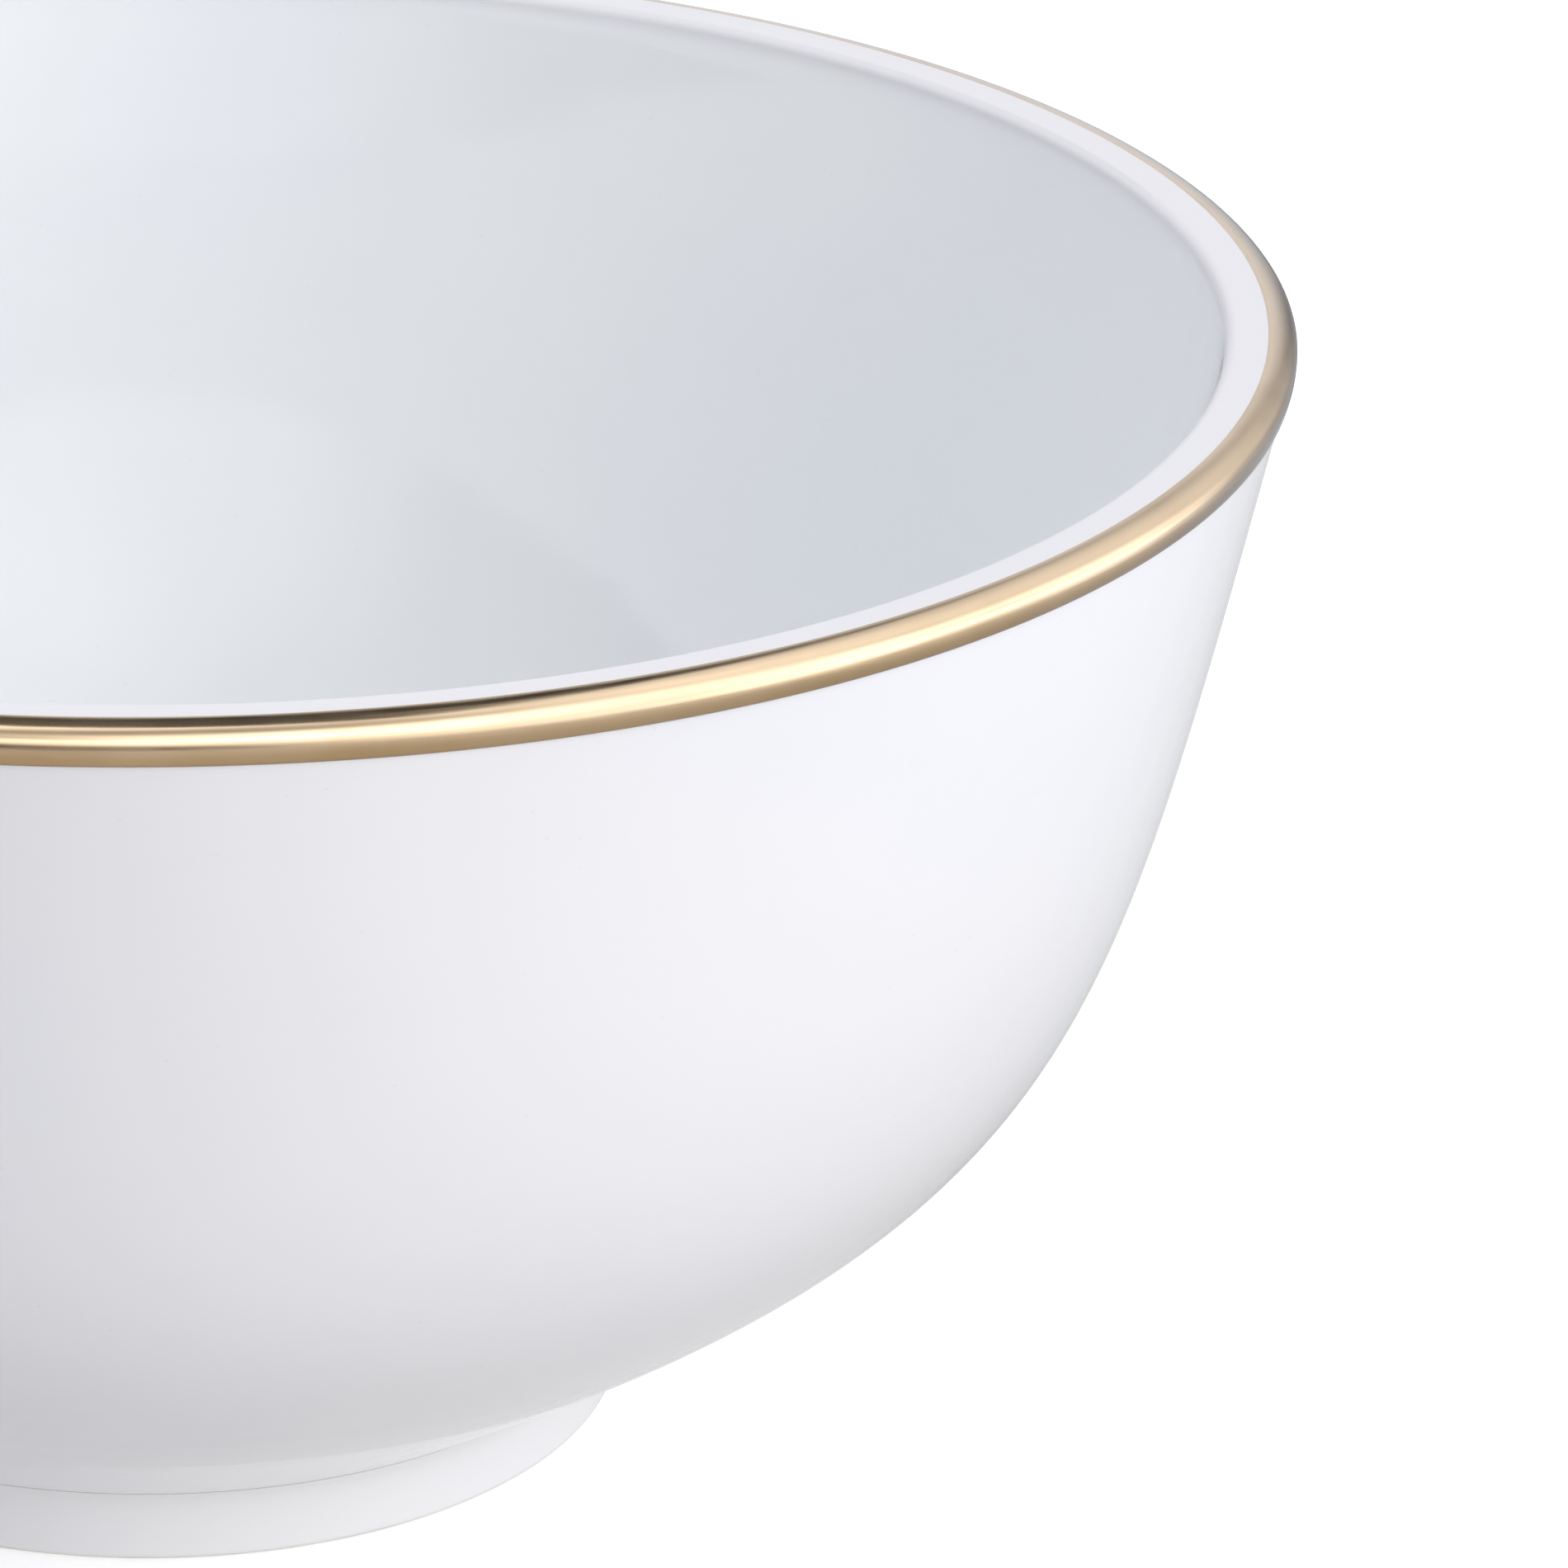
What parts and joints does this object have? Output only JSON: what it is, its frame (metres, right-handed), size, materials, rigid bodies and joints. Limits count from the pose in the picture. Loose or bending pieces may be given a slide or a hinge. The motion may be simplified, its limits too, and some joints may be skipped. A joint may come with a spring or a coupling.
{
  "type": "serving bowl",
  "caption": "Deep round serving bowl in glazed white porcelain, with a flat lip, a gilt band round the rim and a low foot ring luted under the belly.",
  "frame": {"origin": "centre of the foot ring's flat underside, on the surface that the bowl stands on", "axes": "+Z is the bowl's axis, up through the mouth; X and Y are any two level directions, because the bowl is round"},
  "size_m": [0.21, 0.21, 0.1074],
  "materials": {
    "glazed_porcelain": "clear gloss glaze over white porcelain",
    "foot_porcelain": "gloss glaze on the sides, bare smooth biscuit on the flat underside that the bowl stands on",
    "fired_slip": "fired slip under the same gloss glaze",
    "burnished_gold": "bright burnished gilding with a worn lower edge"
  },
  "bodies": {
    "root": {"bowl_body": "glazed_porcelain", "foot_ring": "foot_porcelain", "slip_joint": "fired_slip", "gilt_band": "burnished_gold"}
  },
  "joints": []
}
